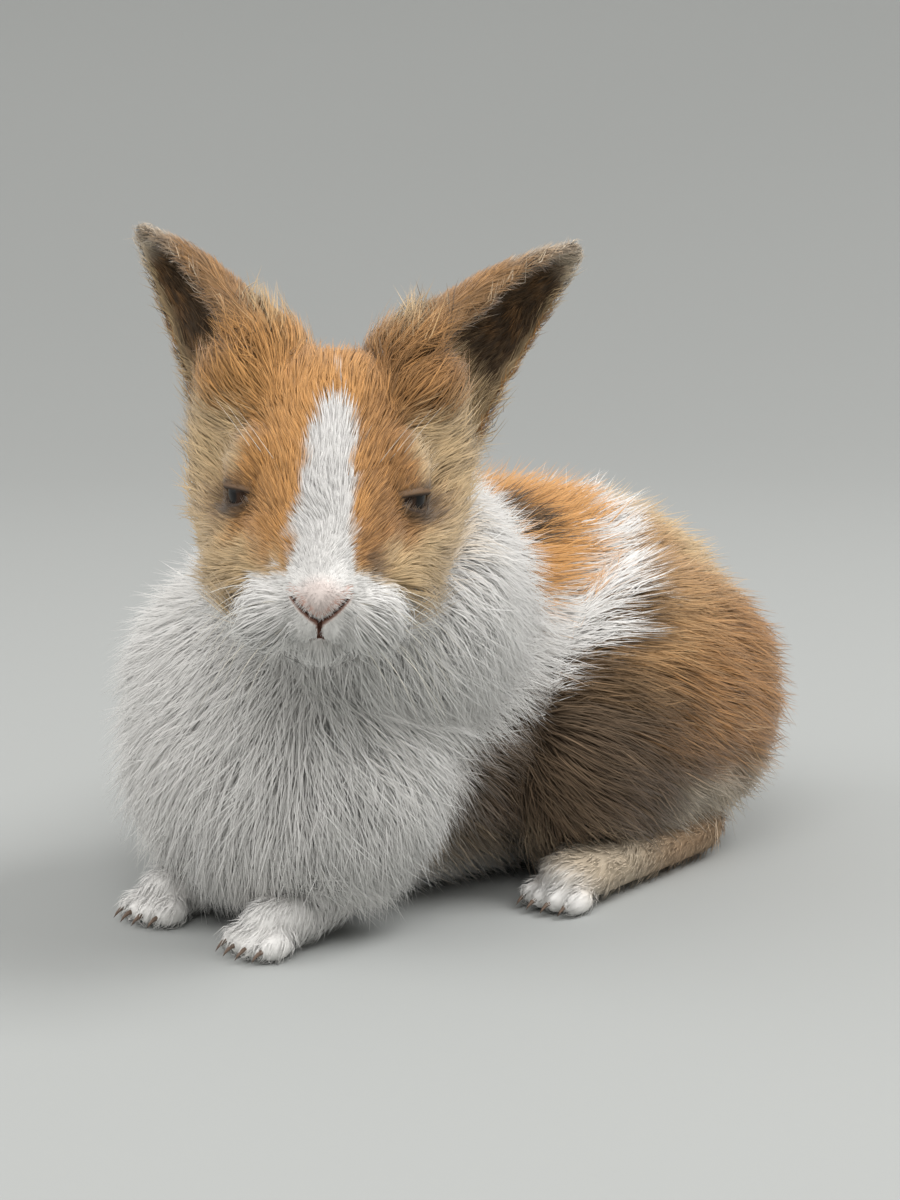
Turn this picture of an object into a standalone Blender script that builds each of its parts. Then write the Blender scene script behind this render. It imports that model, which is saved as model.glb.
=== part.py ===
"""A young lion lop rabbit, crouched with its head raised and turned, at life size.

The frame is +Z up, with the rabbit's tail towards +Y and its left side towards +X.
The origin is on the flat of the belly, on the ground. Sizes are in millimetres and
become metres where a mesh is made. Each sub-part is one closed solid in the shape
of the coat's outer surface.
"""
import bpy
import bmesh
import math
import random
from mathutils import Matrix, Vector
from mathutils.bvhtree import BVHTree

MM = 0.001
GAP = 0.3
MERGE = 0.002

# The head's own frame has its nose towards -Y. It is turned to the rabbit's left and nods.
HEAD_AT = Vector((34.5, -71, 101.5))
HEAD_TURN = 44.5
HEAD_NOD = 10
HEAD_ROLL = 2
HEAD = (
    Matrix.Translation(HEAD_AT)
    @ Matrix.Rotation(math.radians(HEAD_TURN), 4, "Z")
    @ Matrix.Rotation(math.radians(HEAD_NOD), 4, "X")
    @ Matrix.Rotation(math.radians(HEAD_ROLL), 4, "Y")
)

# The torso as a row of balls down a gently bent spine: centre and radii
TORSO = (
    ((0, 80, 36), (34, 21, 32)),
    ((0, 60, 42), (46, 32, 46)),
    ((1, 32, 46), (48, 36, 50)),
    ((3, 4, 47), (45, 33, 52)),
    ((6, -24, 48), (41, 31, 50.5)),
    ((9, -48, 44), (36, 28, 42)),
)

# The neck with its mane, and the bib of the mane under the throat
NECK = (((8, -26, 65), (37, 34, 38)), ((22, -50, 75), (38, 33, 36)))
BIB = (((4, -55, 48), (46, 34, 40)), ((7, -61, 34), (44, 31, 36)))

# The head, in its own frame
SKULL = (
    ((0, -34, -9), (11, 10, 11.5)),
    ((0, -26, -7.5), (16.5, 12, 17)),
    ((0, -15, -3), (20, 14, 21.5)),
    ((0, -3, 2), (24, 16, 24.5)),
    ((0, 10, 6), (26.5, 18, 26)),
    ((0, 20, 4), (23.5, 16, 23)),
)
JOWL = (((12, -19, -11), (11, 12, 12)), ((14, -9, -9), (13.5, 13, 15)), ((14, 3, -6), (16, 18, 18)))
PAD = ((9, -30.5, -14.5), (10.5, 10.5, 9.5))
CHIN = (((0, -27, -21), (7.5, 8, 5.5)), ((0, -12, -20), (14, 13, 9)))
BROW = ((12.5, -6, 11), (9, 11, 7.5))
TEMPLE = (((16, 11, 15), (14.5, 12, 14)), ((17, 9, -2), (15, 15, 14)))
EAR_BASE = (((12, 8, 15), (12, 12, 12)), ((18.5, 8, 22.5), (8.5, 8, 8.5)))

# The eyes, their lids and the half-closed opening between the lids
EYE = (14, -9.5, 4.5)
EYE_R = 7
EYE_TURN = 62
LID = 1.5
EYE_OPEN = (5.4, 2.8)

# The nose and mouth as grooves: centre, half sizes and turn about the nose's own axis
NOSTRIL = ((3.4, -43.4, -10.6), (3.7, 2.6, 0.9), 38)
CLEFT = ((0, -43, -15.5), (0.8, 3.2, 4.2), 0)
MOUTH = ((5.4, -39, -20.6), (6.4, 6, 0.9), 20)

# The ears, in the head's frame: root, direction and the way the cup opens
EAR_LENGTH = 60
EAR_WIDTH = 33
EAR_THICK = 2.6
EAR_ROOT = (20, 14, 12)
EAR_LEFT_WAY = (0.59, 0.57, 0.57)
EAR_RIGHT_WAY = (-0.46, 0.69, 0.56)
EAR_OPENS = (0.92, -0.36, -0.08)
EAR_ROLL = (100, 78)

# The legs: a thigh and knee in one bulge over a long foot, and two short forearms
THIGH = (((33, 48, 38), (29, 34, 36)), ((35, 27, 40), (29, 33, 38)), ((41, 4, 30), (20, 22, 29)))
FOOT = (((45, 44, 8), (9.5, 11, 9.5)), ((52, -8, 6.5), (9, 11, 7.5)))
FORELEG_X = (27, -9)
FOREARM = (((0, -42, 32), (13, 13, 13)), ((0, -68, 10), (9, 9, 9)))
FOREPAW = ((0, -78, 6.5), (8.5, 13, 7.5))
TOE_R = 3.6

# The tail's outer form, turned up behind the rump, and the place of its tip
TAIL = (((0, 90, 17), (11, 10, 10)), ((0, 102, 28), (13, 11, 13)))
TAIL_TIP = ((0, 108, 45), (8, 7, 8))

# The core of the mane and of the tail is this far inside the tips of their locks
MANE_CORE = 7
TAIL_CORE = 4

# The locks: most of them, spacing of the roots, and the range of lengths, widths and lifts
MANE = {"count": 84, "apart": 11.2, "long": (30, 44), "wide": (11, 15), "lift": (5, 9)}
RUFF = {"count": 8, "apart": 8, "long": (15, 21), "wide": (8, 10), "lift": (3, 5)}
FORELOCK = {"count": 5, "apart": 6, "long": (12, 16), "wide": (6, 8), "lift": (3, 5)}
TAIL_TUFT = {"count": 11, "apart": 6.5, "long": (15, 21), "wide": (7, 9), "lift": (1.5, 3)}
LOCK_THICK = 3.4
LOCK_ROOT = 4
LOCK_RINGS = (0, 0.25, 0.53, 0.8)
LOCK_BEND = 14
LOCK_ROLL = 16
FLOOR_CLEAR = 2.5
TRIES = 60
SEED = 8

COLOURS = {
    "orange": (0.62, 0.30, 0.11),
    "white": (0.86, 0.84, 0.80),
    "brown": (0.33, 0.20, 0.11),
    "eye": (0.03, 0.02, 0.015),
}


def clear_scene():
    for obj in list(bpy.data.objects):
        bpy.data.objects.remove(obj, do_unlink=True)


def collection(name):
    made = bpy.data.collections.new(name)
    bpy.context.scene.collection.children.link(made)
    return made


def coat_material(name):
    made = bpy.data.materials.new(name)
    made.use_nodes = True
    shader = made.node_tree.nodes["Principled BSDF"]
    shader.inputs["Base Color"].default_value = (*COLOURS[name], 1)
    shader.inputs["Roughness"].default_value = 0.1 if name == "eye" else 0.85
    shader.inputs["Metallic"].default_value = 0
    return made


def link_mesh(mesh, name, group):
    obj = bpy.data.objects.new(name, mesh)
    group.objects.link(obj)
    return obj


def evaluated_copy(obj):
    """The object's mesh with its modifiers, as a new mesh in world space."""
    graph = bpy.context.evaluated_depsgraph_get()
    mesh = bpy.data.meshes.new_from_object(obj.evaluated_get(graph), depsgraph=graph)
    mesh.transform(obj.matrix_world)
    return mesh


def applied(obj):
    """Applies the object's modifiers in place."""
    mesh = evaluated_copy(obj)
    obj.modifiers.clear()
    obj.data = mesh
    obj.matrix_world = Matrix.Identity(4)
    return obj


def ball_mesh():
    """A ball of radius 1, made once and copied wherever a soft form needs one."""
    mesh = bpy.data.meshes.get("ball")
    if mesh is None:
        mesh = bpy.data.meshes.new("ball")
        shape = bmesh.new()
        bmesh.ops.create_uvsphere(shape, u_segments=32, v_segments=20, radius=1)
        shape.to_mesh(mesh)
        shape.free()
    return mesh


def add_ball(shape, centre, radii, place=Matrix.Identity(4)):
    """Adds an ellipsoid to the bmesh."""
    size = Matrix.Diagonal((*radii, 1))
    mesh = ball_mesh().copy()
    mesh.transform(Matrix.Scale(MM, 4) @ place @ Matrix.Translation(Vector(centre)) @ size)
    shape.from_mesh(mesh)
    bpy.data.meshes.remove(mesh)


def smooth_between(values, share):
    """A value on the smooth curve through evenly spaced ones, at a share of its length."""
    place = share * (len(values) - 1)
    i = min(int(place), len(values) - 2)
    t = place - i
    before, start = values[max(i - 1, 0)], values[i]
    end, after = values[i + 1], values[min(i + 2, len(values) - 1)]
    bend_end = (after - start) * 0.5
    bend = (end - before) * 0.5
    return (
        start * (2 * t**3 - 3 * t**2 + 1)
        + bend * (t**3 - 2 * t**2 + t)
        + end * (3 * t**2 - 2 * t**3)
        + bend_end * (t**3 - t**2)
    )


def add_row(shape, stations, place=Matrix.Identity(4), side=1, shift=(0, 0, 0), inset=0):
    """Adds a close row of balls whose centres and radii run smoothly through the stations."""
    centres = [Vector(centre) for centre, _ in stations]
    radii = [Vector(r) - Vector((inset, inset, inset)) for _, r in stations]
    reach = sum((b - a).length for a, b in zip(centres, centres[1:]))
    count = 2 + int(reach / (0.2 * min(min(r) for r in radii)))
    for i in range(count):
        share = i / (count - 1)
        centre = smooth_between(centres, share) + Vector(shift)
        centre.x *= side
        add_ball(shape, centre, smooth_between(radii, share), place)


def soft_form(name, shape, group, voxel, smooth, triangles):
    """Joins the bmesh's balls into one smooth closed surface of about that many triangles."""
    mesh = bpy.data.meshes.new(name)
    shape.to_mesh(mesh)
    shape.free()
    obj = link_mesh(mesh, name, group)
    remesh = obj.modifiers.new("Join", "REMESH")
    remesh.mode = "VOXEL"
    remesh.voxel_size = voxel * MM
    relax = obj.modifiers.new("Relax", "SMOOTH")
    relax.factor = 0.5
    relax.iterations = smooth
    applied(obj)
    quads = len(obj.data.polygons)
    thin = obj.modifiers.new("Thin", "DECIMATE")
    thin.ratio = min(1, triangles / (2 * quads))
    applied(obj)
    return obj


def is_closed(shape):
    """Whether every edge of the bmesh joins just two faces."""
    return all(len(edge.link_faces) == 2 for edge in shape.edges)


def boolean(obj, operation, others):
    """Joins the other objects to obj, or cuts them from it, by the first solver that holds."""
    before = obj.data
    group = collection("operands")
    for other in others:
        group.objects.link(other)
    for solver in ("EXACT", "MANIFOLD"):
        obj.data = before.copy()
        modifier = obj.modifiers.new(operation, "BOOLEAN")
        modifier.operation = operation
        modifier.solver = solver
        modifier.operand_type = "COLLECTION"
        modifier.collection = group
        applied(obj)
        if keep_largest(obj):
            break
    bpy.data.collections.remove(group)


def to_triangles(shape):
    """Splits the faces, with a middle point in one whose diagonal another face has too."""
    shape.verts.index_update()
    shape.verts.ensure_lookup_table()
    trial = shape.copy()
    bmesh.ops.triangulate(trial, faces=trial.faces)
    shared = [edge for edge in trial.edges if len(edge.link_faces) > 2]
    pairs = [[shape.verts[vert.index] for vert in edge.verts] for edge in shared]
    poked = set()
    for a, b in pairs:
        poked.update(face for face in a.link_faces if b in face.verts and len(face.verts) > 3)
    bmesh.ops.poke(shape, faces=list(poked))
    trial.free()
    bmesh.ops.triangulate(shape, faces=shape.faces)


def keep_largest(obj):
    """Keeps the largest surface of the object's mesh in triangles, if that is closed."""
    shape = bmesh.new()
    shape.from_mesh(obj.data)
    bmesh.ops.dissolve_degenerate(shape, edges=shape.edges, dist=MERGE * MM)
    to_triangles(shape)
    unseen = set(shape.verts)
    islands = []
    while unseen:
        island = set()
        edge = [unseen.pop()]
        while edge:
            vert = edge.pop()
            island.add(vert)
            for link in vert.link_edges:
                other = link.other_vert(vert)
                if other in unseen:
                    unseen.remove(other)
                    edge.append(other)
        islands.append(island)
    islands.sort(key=len)
    small = [vert for island in islands[:-1] for vert in island]
    bmesh.ops.delete(shape, geom=small, context="VERTS")
    closed = is_closed(shape)
    if closed:
        shape.to_mesh(obj.data)
    shape.free()
    return closed


def grown(obj, group):
    """A copy of the object's whole form, larger all round by the gap, to cut its neighbours."""
    copy = link_mesh(obj.data.copy(), obj.name + ".grown", group)
    swell = copy.modifiers.new("Swell", "DISPLACE")
    swell.mid_level = 0
    swell.strength = GAP * MM
    applied(copy)
    copy.hide_render = True
    copy.display_type = "WIRE"
    return copy


def floor_cutter(helpers):
    """A slab whose top is the ground."""
    shape = bmesh.new()
    low = Matrix.Translation((0, 0, -50 * MM)) @ Matrix.Diagonal((0.6, 0.6, 0.1, 1))
    bmesh.ops.create_cube(shape, size=1, matrix=low)
    mesh = bpy.data.meshes.new("ground")
    shape.to_mesh(mesh)
    shape.free()
    obj = link_mesh(mesh, "ground", helpers)
    obj.hide_render = True
    obj.display_type = "WIRE"
    return obj


def make_torso(parts):
    shape = bmesh.new()
    add_row(shape, TORSO)
    return soft_form("torso", shape, parts, voxel=3, smooth=12, triangles=950)


def make_neck(parts):
    """The core of the neck, chest and mane, which the locks grow from."""
    shape = bmesh.new()
    add_row(shape, NECK, inset=MANE_CORE)
    add_row(shape, BIB, inset=MANE_CORE)
    return soft_form("neck", shape, parts, voxel=3, smooth=14, triangles=800)


def make_head(parts):
    shape = bmesh.new()
    add_row(shape, SKULL, HEAD)
    add_row(shape, CHIN, HEAD)
    for side in (1, -1):
        add_row(shape, JOWL, HEAD, side)
        add_row(shape, TEMPLE, HEAD, side)
        add_row(shape, EAR_BASE, HEAD, side)
        for centre, radii in (PAD, BROW, (EYE, [EYE_R + LID] * 3)):
            x, y, z = centre
            add_ball(shape, (side * x, y, z), radii, HEAD)
    return soft_form("head", shape, parts, voxel=1.2, smooth=16, triangles=2000)


def gaze(side):
    """The frame of one eye: its centre, with its pupil towards -Y."""
    x, y, z = EYE
    turn = Matrix.Rotation(math.radians(side * EYE_TURN), 4, "Z")
    return HEAD @ Matrix.Translation((side * x, y, z)) @ turn


def carver(place, sides, helpers):
    """A slim rounded cutter: its half sizes are along x, y and z."""
    shape = bmesh.new()
    bmesh.ops.create_uvsphere(shape, u_segments=12, v_segments=6, radius=1)
    shape.transform(Matrix.Scale(MM, 4) @ place @ Matrix.Diagonal((*sides, 1)))
    mesh = bpy.data.meshes.new("carver")
    shape.to_mesh(mesh)
    shape.free()
    return link_mesh(mesh, "carver", helpers)


def face_carvers(helpers):
    """The cutters that open the lids, nostrils and mouth of the head."""
    carvers = []
    wide, high = EYE_OPEN
    for side in (1, -1):
        opening = gaze(side) @ Matrix.Translation((0, -EYE_R, 0))
        carvers.append(carver(opening, (wide, EYE_R * 0.8, high), helpers))
        for centre, sides, turn in (NOSTRIL, MOUTH):
            x, y, z = centre
            lean = Matrix.Rotation(math.radians(-side * turn), 4, "Y")
            at = HEAD @ Matrix.Translation((side * x, y, z)) @ lean
            carvers.append(carver(at, sides, helpers))
    centre, sides, _ = CLEFT
    carvers.append(carver(HEAD @ Matrix.Translation(centre), sides, helpers))
    return carvers


def make_eye(name, side, parts):
    shape = bmesh.new()
    bmesh.ops.create_uvsphere(shape, u_segments=12, v_segments=8, radius=EYE_R)
    shape.transform(Matrix.Scale(MM, 4) @ gaze(side) @ Matrix.Rotation(math.pi / 2, 4, "X"))
    mesh = bpy.data.meshes.new(name)
    shape.to_mesh(mesh)
    shape.free()
    return link_mesh(mesh, name, parts)


def ear_profile(share):
    """The half width of the ear's sheet, as a share of its widest, along its length."""
    swell = 0.9 + 0.1 * math.sin(math.pi * min(1, share / 0.4))
    return max(0.08, swell * (1 - share**1.7) ** 0.8)


def make_ear(name, side, way, parts):
    """A leaf-shaped sheet rolled round its length, open to the side and front."""
    way = Vector(way).normalized()
    opens = Vector((side * EAR_OPENS[0], EAR_OPENS[1], EAR_OPENS[2]))
    opens = (opens - way * opens.dot(way)).normalized()
    across = way.cross(opens)
    root = Vector((side * EAR_ROOT[0], EAR_ROOT[1], EAR_ROOT[2]))
    shape = bmesh.new()
    rows, columns = 11, 7
    bmesh.ops.create_grid(shape, x_segments=columns, y_segments=rows, size=1)
    for vert in shape.verts:
        share = 0.5 + 0.5 * vert.co.y
        half = EAR_WIDTH * ear_profile(share)
        roll = math.radians(EAR_ROLL[0] + (EAR_ROLL[1] - EAR_ROLL[0]) * share**0.7)
        r = half / roll
        angle = vert.co.x * roll
        point = root + way * (EAR_LENGTH * share)
        point += across * (r * math.sin(angle)) + opens * (r * (1 - math.cos(angle)) - r)
        vert.co = HEAD @ point * MM
    mesh = bpy.data.meshes.new(name)
    shape.to_mesh(mesh)
    shape.free()
    obj = link_mesh(mesh, name, parts)
    thick = obj.modifiers.new("Thick", "SOLIDIFY")
    thick.thickness = EAR_THICK * MM
    thick.offset = 0
    return applied(obj)


def add_toes(shape, centre, radii, side=1):
    """Adds four toes side by side across the front of a foot."""
    x, y, _ = centre
    wide, long, _ = radii
    for i in range(4):
        across = (i - 1.5) / 1.5
        at = (side * (x + across * (wide - TOE_R * 0.5)), y - long + 1.5 * across**2, TOE_R)
        add_ball(shape, at, (TOE_R, TOE_R * 1.7, TOE_R * 1.2))


def make_hindleg(name, side, parts):
    shape = bmesh.new()
    add_row(shape, THIGH, side=side)
    add_row(shape, FOOT, side=side)
    add_toes(shape, *FOOT[-1], side=side)
    return soft_form(name, shape, parts, voxel=1.6, smooth=8, triangles=560)


def make_foreleg(name, x, parts):
    shape = bmesh.new()
    add_row(shape, FOREARM, shift=(x, 0, 0))
    _, y, z = FOREPAW[0]
    add_ball(shape, (x, y, z), FOREPAW[1])
    add_toes(shape, (x, y, z), FOREPAW[1])
    return soft_form(name, shape, parts, voxel=1.3, smooth=5, triangles=260)


def make_tail(parts):
    shape = bmesh.new()
    add_row(shape, TAIL, inset=TAIL_CORE)
    return soft_form("tail", shape, parts, voxel=1.5, smooth=4, triangles=200)


def surface(obj):
    """The object's mesh as a tree that finds its nearest point."""
    shape = bmesh.new()
    shape.from_mesh(obj.data)
    tree = BVHTree.FromBMesh(shape)
    shape.free()
    return tree


def body_guide(helpers):
    """The surface of the whole body under the locks, which they lie along."""
    shape = bmesh.new()
    add_row(shape, TORSO)
    for row in (NECK, BIB):
        add_row(shape, row, inset=MANE_CORE)
    for side in (1, -1):
        add_row(shape, THIGH, side=side)
    obj = soft_form("guide", shape, helpers, voxel=3, smooth=10, triangles=6000)
    tree = surface(obj)
    bpy.data.objects.remove(obj)
    return tree


def inside(tree, point):
    """Whether the point is inside a closed surface, or within a gap of it."""
    near, normal, _, _ = tree.find_nearest(point)
    return (point - near).dot(normal) < GAP * MM


def lock_roots(obj, spec, where, walls, draw):
    """Evenly spread roots on the object's open surface, clear of its neighbours."""
    mesh = obj.data
    grown_from = [face for face in mesh.polygons if where(face.center)]
    faces = [[mesh.vertices[i].co.copy() for i in face.vertices] for face in grown_from]
    areas = [face.area for face in grown_from]
    roots = []
    for corners in draw.choices(faces, areas, k=TRIES * spec["count"]):
        u, v = draw.random(), draw.random()
        if u + v > 1:
            u, v = 1 - u, 1 - v
        point = corners[0] + u * (corners[1] - corners[0]) + v * (corners[2] - corners[0])
        crowded = any((point - root).length < spec["apart"] * MM for root in roots)
        low = point.z < (LOCK_ROOT + FLOOR_CLEAR) * MM
        if crowded or low or any(inside(wall, point) for wall in walls):
            continue
        roots.append(point)
        if len(roots) == spec["count"]:
            break
    return roots


def lock_path(guide, root, flow, long, lift, bend):
    """Centres, outward and sideways directions down a lock that lies along the guide."""
    at, out, _, _ = guide.find_nearest(root)
    rings = []
    shares = (*LOCK_RINGS, 1)
    for i, share in enumerate(shares):
        heading = flow(at)
        heading = (heading - out * heading.dot(out)).normalized()
        heading.rotate(Matrix.Rotation(math.radians(bend * share), 3, out))
        height = -LOCK_ROOT + (LOCK_ROOT + lift) * share**0.6
        centre = at + out * (height * MM)
        centre.z = max(centre.z, FLOOR_CLEAR * MM)
        rings.append((centre, out.copy(), heading.cross(out)))
        if share < 1:
            step = (shares[i + 1] - share) * long * MM
            at, out, _, _ = guide.find_nearest(at + heading * step)
    return rings


def lock_mesh(rings, wide, roll, more):
    """A flat lock with four sides, widest near its middle and drawn out to a point.

    It is larger by more millimetres all round where it is to cut a neighbour.
    """
    mesh = bpy.data.meshes.new("lock")
    shape = bmesh.new()
    loops = []
    for (centre, out, across), share in zip(rings, LOCK_RINGS):
        turn = Matrix.Rotation(math.radians(roll * share), 3, out.cross(across))
        half = (0.5 * wide * min(1, 0.55 + 1.8 * share) * (1 - share**2.2) + more) * MM
        thick = (0.5 * LOCK_THICK * (1 - 0.6 * share) + more) * MM
        sides = (across * half, out * thick, -across * half, -out * thick)
        loops.append([shape.verts.new(centre + turn @ side) for side in sides])
    for here, there in zip(loops, loops[1:]):
        for k in range(4):
            shape.faces.new((here[k], here[k - 3], there[k - 3], there[k]))
    end = rings[-1][0]
    tip = shape.verts.new(end + (end - rings[-2][0]).normalized() * (3 * more * MM))
    for k in range(4):
        shape.faces.new((loops[-1][k], loops[-1][k - 3], tip))
    shape.faces.new(loops[0][::-1])
    bmesh.ops.recalc_face_normals(shape, faces=shape.faces)
    bmesh.ops.triangulate(shape, faces=shape.faces)
    shape.to_mesh(mesh)
    shape.free()
    return mesh


def anywhere(point):
    return True


def fuse(obj, meshes, helpers):
    """Joins the closed meshes into the object."""
    locks = [link_mesh(mesh, "lock", helpers) for mesh in meshes]
    boolean(obj, "UNION", locks)
    for lock in locks:
        bpy.data.objects.remove(lock)


def grow_locks(obj, cutter, helpers, guide, flow, spec, walls, draw, where=anywhere):
    """Fuses locks into the object, and larger ones into its cutter if it has one."""
    locks = []
    for root in lock_roots(obj, spec, where, walls, draw):
        long, wide, lift = (draw.uniform(*spec[name]) for name in ("long", "wide", "lift"))
        bend = draw.uniform(-LOCK_BEND, LOCK_BEND)
        roll = draw.uniform(-LOCK_ROLL, LOCK_ROLL)
        locks.append((lock_path(guide, root, flow, long, lift, bend), wide, roll))
    fuse(obj, [lock_mesh(*lock, more=0) for lock in locks], helpers)
    if cutter:
        fuse(cutter, [lock_mesh(*lock, more=GAP) for lock in locks], helpers)


def mane_flow(point):
    """The mane runs away from the head, down the chest and back over the shoulders."""
    away = (point - HEAD_AT * MM).normalized()
    return away + Vector((0, 0.35, -0.7))


def in_head(point):
    """The point in the head's own frame, in millimetres."""
    return HEAD.inverted() @ (point / MM)


def ruff_flow(point):
    """The ruff runs back and down from the cheeks."""
    return HEAD.to_3x3() @ Vector((0, 1, -0.5))


def forelock_flow(point):
    """The forelock runs up and back over the crown."""
    return HEAD.to_3x3() @ Vector((0, 0.8, 0.6))


def on_left_cheek(point):
    x, y, z = in_head(point)
    return x > 14 and 2 < y < 14 and z < 6


def on_right_cheek(point):
    x, y, z = in_head(point)
    return x < -14 and 2 < y < 14 and z < 6


def on_crown(point):
    x, y, z = in_head(point)
    return abs(x) < 10 and 2 < y < 16 and z > 20


def low_on_tail(point):
    return point.z < (TAIL[1][0][2] + 6) * MM


def tail_flow(point):
    """The tail's hair runs back and up to its tip."""
    return Vector(TAIL_TIP[0]) - Vector(TAIL[0][0])


def tail_guide(helpers):
    """The tail's core drawn out to its tip, for its hair to lie along."""
    shape = bmesh.new()
    add_row(shape, (*TAIL, TAIL_TIP), inset=TAIL_CORE)
    obj = soft_form("guide", shape, helpers, voxel=1.5, smooth=2, triangles=1000)
    tree = surface(obj)
    bpy.data.objects.remove(obj)
    return tree


def main():
    clear_scene()
    bpy.context.scene.unit_settings.scale_length = 1
    parts = collection("rabbit")
    helpers = collection("helpers")
    ground = floor_cutter(helpers)
    torso = make_torso(parts)
    neck = make_neck(parts)
    head = make_head(parts)
    eyes = [make_eye("eye_left", 1, parts), make_eye("eye_right", -1, parts)]
    ears = [
        make_ear("ear_left", 1, EAR_LEFT_WAY, parts),
        make_ear("ear_right", -1, EAR_RIGHT_WAY, parts),
    ]
    hindlegs = [make_hindleg("hindleg_left", 1, parts), make_hindleg("hindleg_right", -1, parts)]
    forelegs = [
        make_foreleg("foreleg_left", FORELEG_X[0], parts),
        make_foreleg("foreleg_right", FORELEG_X[1], parts),
    ]
    tail = make_tail(parts)
    whole = {obj.name: grown(obj, helpers) for obj in parts.objects if obj not in (neck, tail)}
    draw = random.Random(SEED)
    walls = [surface(obj) for obj in (torso, head, *ears, *forelegs, *hindlegs)]
    grow_locks(neck, None, helpers, body_guide(helpers), mane_flow, MANE, walls, draw)
    lie = tail_guide(helpers)
    grow_locks(tail, None, helpers, lie, tail_flow, TAIL_TUFT, walls, draw, low_on_tail)
    skull, roots = surface(head), [surface(obj) for obj in ears]
    for spec, flow, where in (
        (RUFF, ruff_flow, on_left_cheek),
        (RUFF, ruff_flow, on_right_cheek),
        (FORELOCK, forelock_flow, on_crown),
    ):
        grow_locks(head, whole["head"], helpers, skull, flow, spec, roots, draw, where)

    hindlegs_whole = [whole[obj.name] for obj in hindlegs]
    rest = [whole[obj.name] for obj in (torso, head, *ears, *forelegs)]
    carvers = face_carvers(helpers)
    boolean(head, "DIFFERENCE", [*carvers, *(whole[obj.name] for obj in eyes)])
    boolean(torso, "DIFFERENCE", [ground, *hindlegs_whole])
    boolean(neck, "DIFFERENCE", [ground, *hindlegs_whole, *rest])
    boolean(tail, "DIFFERENCE", [ground, *hindlegs_whole, whole["torso"]])
    for obj in ears:
        boolean(obj, "DIFFERENCE", [whole["head"]])
    for obj in forelegs:
        boolean(obj, "DIFFERENCE", [ground, whole["torso"]])
    for obj in hindlegs:
        boolean(obj, "DIFFERENCE", [ground])
    materials = {name: coat_material(name) for name in COLOURS}
    for obj in parts.objects:
        colour = "orange"
        if obj.name.startswith("eye"):
            colour = "eye"
        elif obj.name.startswith(("neck", "foreleg")):
            colour = "white"
        elif obj.name.startswith(("hindleg", "tail")):
            colour = "brown"
        obj.data.materials.clear()
        obj.data.materials.append(materials[colour])
        obj.data.shade_smooth()
    for cutter in (ground, *carvers, *whole.values()):
        bpy.data.objects.remove(cutter)


main()
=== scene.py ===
"""The looks of a young lion lop rabbit: its skin, coat, eyes, lids, whiskers and claws.

Places and sizes are in millimetres in the part's own frame, +Z up, with the tail towards
+Y and the rabbit's left towards +X. They become metres where a mesh is made.
"""
import math
import bmesh
import bpy
import numpy as np
from mathutils import Matrix, Vector
from mathutils.bvhtree import BVHTree
from mathutils.kdtree import KDTree


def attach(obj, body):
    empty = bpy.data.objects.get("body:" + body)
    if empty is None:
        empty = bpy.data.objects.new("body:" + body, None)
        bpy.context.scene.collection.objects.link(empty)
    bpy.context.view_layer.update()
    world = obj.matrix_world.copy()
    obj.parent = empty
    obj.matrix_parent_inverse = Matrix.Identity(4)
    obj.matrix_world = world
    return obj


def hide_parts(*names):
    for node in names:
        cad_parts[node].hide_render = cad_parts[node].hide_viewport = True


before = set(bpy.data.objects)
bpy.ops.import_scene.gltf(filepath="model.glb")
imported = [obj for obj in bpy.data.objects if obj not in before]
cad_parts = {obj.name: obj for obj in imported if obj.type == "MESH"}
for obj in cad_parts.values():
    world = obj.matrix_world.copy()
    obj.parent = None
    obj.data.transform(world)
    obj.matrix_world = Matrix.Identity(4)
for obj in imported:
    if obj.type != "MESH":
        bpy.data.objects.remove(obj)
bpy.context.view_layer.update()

MM = 0.001

# The head's own frame has its nose towards -Y
HEAD_AT = (34.5, -71, 101.5)
HEAD = (
    Matrix.Translation(HEAD_AT)
    @ Matrix.Rotation(math.radians(44.5), 4, "Z")
    @ Matrix.Rotation(math.radians(10), 4, "X")
    @ Matrix.Rotation(math.radians(2), 4, "Y")
)
HEAD_ARRAY = np.array(HEAD)
HEAD_BACK = np.linalg.inv(HEAD_ARRAY)

# The coat's outer form, as rows of balls: centre and radii. The skin is thinner by the depth.
TORSO = (
    ((0, 80, 36), (34, 21, 32)),
    ((0, 60, 42), (46, 32, 46)),
    ((1, 32, 46), (48, 36, 50)),
    ((3, 4, 47), (45, 33, 52)),
    ((6, -24, 48), (41, 31, 50.5)),
    ((9, -48, 44), (36, 28, 42)),
)
NECK = (((8, -26, 65), (37, 34, 38)), ((22, -50, 75), (38, 33, 36)))
BIB = (((4, -55, 48), (46, 34, 40)), ((7, -61, 34), (44, 31, 36)))
THIGH = (((33, 48, 38), (29, 34, 36)), ((35, 27, 40), (29, 33, 38)), ((41, 4, 30), (20, 22, 29)))
FOOT = (((45, 44, 8), (9.5, 11, 9.5)), ((52, -8, 6.5), (9, 11, 7.5)))
FORELEG_X = (27, -9)
FOREARM = (((0, -42, 32), (13, 13, 13)), ((0, -68, 10), (9, 9, 9)))
FOREPAW = ((0, -78, 6.5), (8.5, 13, 7.5))
TAIL = (((0, 90, 17), (11, 10, 10)), ((0, 102, 28), (13, 11, 13)))
DEPTH = {"torso": 9, "neck": 7, "thigh": 8, "foot": 1.8, "foreleg": 2, "tail": 4}

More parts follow.
